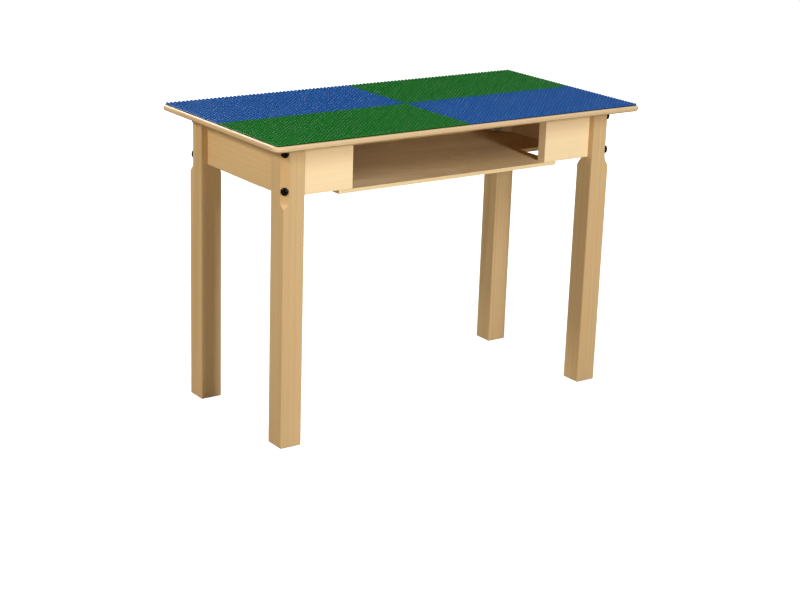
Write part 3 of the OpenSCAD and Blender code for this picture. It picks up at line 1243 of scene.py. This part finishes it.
@dataclass(frozen=True)
class SoftBox:
    """A soft light aimed at the table, with azimuth 0 in front and growing to the right."""

    name: str
    azimuth: float
    elevation: float
    distance: float
    width: float
    height: float
    power: float
    colour: Colour = (1.0, 1.0, 1.0)

    def hang(self, target: Vector) -> None:
        """Hangs the light.

        Args:
            target: What it points at.
        """
        lamp = bpy.data.lights.new(self.name, "AREA")
        lamp.shape, lamp.size, lamp.size_y = "RECTANGLE", self.width, self.height
        lamp.energy, lamp.color = self.power, self.colour
        obj = bpy.data.objects.new(self.name, lamp)
        bpy.context.scene.collection.objects.link(obj)
        a, e = math.radians(self.azimuth), math.radians(self.elevation)
        away = Vector((math.sin(a) * math.cos(e), -math.cos(a) * math.cos(e), math.sin(e)))
        obj.location = target + away * self.distance
        obj.rotation_euler = away.to_track_quat("Z", "Y").to_euler()
        log.info("hung %s", self.name)


@dataclass(frozen=True)
class Studio:
    """White sweep of floor, soft lights and an even sky.

    Attributes:
        floor_colour: Floor as the camera sees it, before the lift.
        bounce: Floor as it colours the light that it throws back.
        lift: Glow of the floor in view, near the table.
        near: Distance at which the glow starts to grow.
        far: Distance at which it is full.
        sky: Strength of the sky out of view.
    """

    floor_size: float = 60.0
    floor_colour: Colour = (0.56, 0.56, 0.56)
    bounce: Colour = (0.405, 0.37, 0.275)
    lift: float = 0.80
    near: float = 0.9
    far: float = 2.4
    sky: float = 0.08
    lights: tuple[SoftBox, ...] = (
        SoftBox("key_light", -4.9, 36.0, 3.6, 0.3, 1.3, 43.0),
        SoftBox("low_light", -4.9, 19.0, 3.6, 0.4, 0.4, 51.0),
        SoftBox("fill_light", -42.0, 4.0, 3.6, 0.6, 0.3, 12.0, (1.0, 0.97, 0.90)),
        SoftBox("left_light", -92.0, 30.0, 3.0, 0.4, 0.4, 40.0, (1.0, 0.95, 0.86)),
        SoftBox("top_light", -20.0, 75.0, 3.4, 2.0, 2.0, 4.0),
        SoftBox("right_light", 95.0, 30.0, 3.2, 0.6, 0.6, 22.0),
        SoftBox("back_light", 180.0, 34.0, 3.4, 1.2, 1.2, 68.0),
    )

    def build(self) -> None:
        """Makes the floor, the sky and the lights."""
        low, high = CAD_BOX
        centre = (Vector(low) + Vector(high)) / 2
        self.floor()
        self.sky_light()
        for light in self.lights:
            light.hang(centre)

    def floor(self) -> None:
        """Makes the floor: white where it is seen, with the table's soft shadow."""
        half = self.floor_size / 2
        mesh = bpy.data.meshes.new("studio_floor")
        corners = [(x * half, y * half, 0) for x, y in ((-1, -1), (1, -1), (1, 1), (-1, 1))]
        mesh.from_pydata(corners, [], [(0, 1, 2, 3)])
        g = Graph(bpy.data.materials.new("studio_floor"))
        seen = g.add("LightPath", output="Is Camera Ray")
        away = g.add("VectorMath", {"operation": "LENGTH"}, {0: g.place()}, "Value")
        rise = self.lift + away.step(self.near, self.far) * (1 - self.lift)
        glow = g.blend((0.0,) * 3, (1.0,) * 3, seen * rise)
        lift = g.add("Emission", sockets={"Color": glow, "Strength": 1.0})
        tint = g.blend(self.bounce, self.floor_colour, seen)
        matt = g.add("BsdfDiffuse", sockets={"Color": tint})
        above = g.add("AddShader", sockets={0: matt, 1: lift})
        below = g.add("BsdfTransparent")
        back = g.add("NewGeometry", output="Backfacing")
        mesh.materials.append(g.finish(g.add("MixShader", sockets={0: back, 1: above, 2: below})))
        obj = bpy.data.objects.new("studio_floor", mesh)
        bpy.context.scene.collection.objects.link(obj)
        log.info("laid the floor")

    def sky_light(self) -> None:
        """Makes an even sky that is white where it is seen."""
        g = Graph(bpy.data.worlds.new("studio_sky"))
        seen = g.add("LightPath", output="Is Camera Ray")
        even = g.add(
            "Background",
            sockets={"Color": (1.0, 1.0, 1.0), "Strength": self.sky + seen * (1 - self.sky)},
        )
        bpy.context.scene.world = g.finish(even)
        log.info("made the sky")


@dataclass(frozen=True)
class PhotoCamera:
    """Camera at the photograph's place, solved from the table's corners in it."""

    place: Triple = (-1.814151, -2.549510, 1.159886)
    azimuth: float = 35.463
    elevation: float = 17.576
    roll: float = 1.930
    focal_px: float = 1769.373
    width_px: int = 800
    sensor: float = 36.0
    clip: tuple[float, float] = (0.05, 100.0)

    def build(self) -> None:
        """Makes the camera and looks through it."""
        a, e, r = (math.radians(x) for x in (self.azimuth, self.elevation, self.roll))
        ahead = Vector((math.sin(a) * math.cos(e), math.cos(a) * math.cos(e), -math.sin(e)))
        level = Vector((math.cos(a), -math.sin(a), 0))
        upright = level.cross(ahead)
        right = level * math.cos(r) + upright * math.sin(r)
        up = upright * math.cos(r) - level * math.sin(r)
        lens = bpy.data.cameras.new("photo_camera")
        lens.sensor_fit, lens.sensor_width = "HORIZONTAL", self.sensor
        lens.lens = self.sensor * self.focal_px / self.width_px
        lens.clip_start, lens.clip_end = self.clip
        obj = bpy.data.objects.new("photo_camera", lens)
        bpy.context.scene.collection.objects.link(obj)
        turn = Matrix((right, up, -ahead)).transposed()
        obj.matrix_world = Matrix.Translation(self.place) @ turn.to_4x4()
        bpy.context.scene.camera = obj
        bpy.context.scene.view_settings.view_transform = "Standard"
        log.info("set the camera, %.1f mm lens", lens.lens)


def main() -> None:
    """Builds the camera, the studio, the table's finishes and its finer pieces."""
    logging.basicConfig(level=logging.INFO, format="%(name)s: %(message)s")
    PhotoCamera().build()
    Studio().build()
    Woodwork().dress()
    low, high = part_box("stud_plate_back_left")
    levels = low.z, high.z - StudPlate.stud_h, high.z
    # The third colour of each plastic is the painted shade on its plates' edges.
    blue = Moulding(
        "blue_plastic", srgb(14, 79, 150), srgb(38, 104, 176), srgb(6, 38, 80), *levels
    )
    green = Moulding(
        "green_plastic", srgb(0, 101, 18), srgb(8, 124, 33), srgb(0, 46, 8), *levels
    )
    plates = (
        StudPlate("back_left", -1, 1, blue, "plate_blue"),
        StudPlate("back_right", 1, 1, green, "plate_green"),
        StudPlate("front_left", -1, -1, green, "plate_green"),
        StudPlate("front_right", 1, -1, blue, "plate_blue"),
    )
    for number, plate in enumerate(plates):
        plate.build(number)
    Joinery().build()


if __name__ == "__main__":
    main()
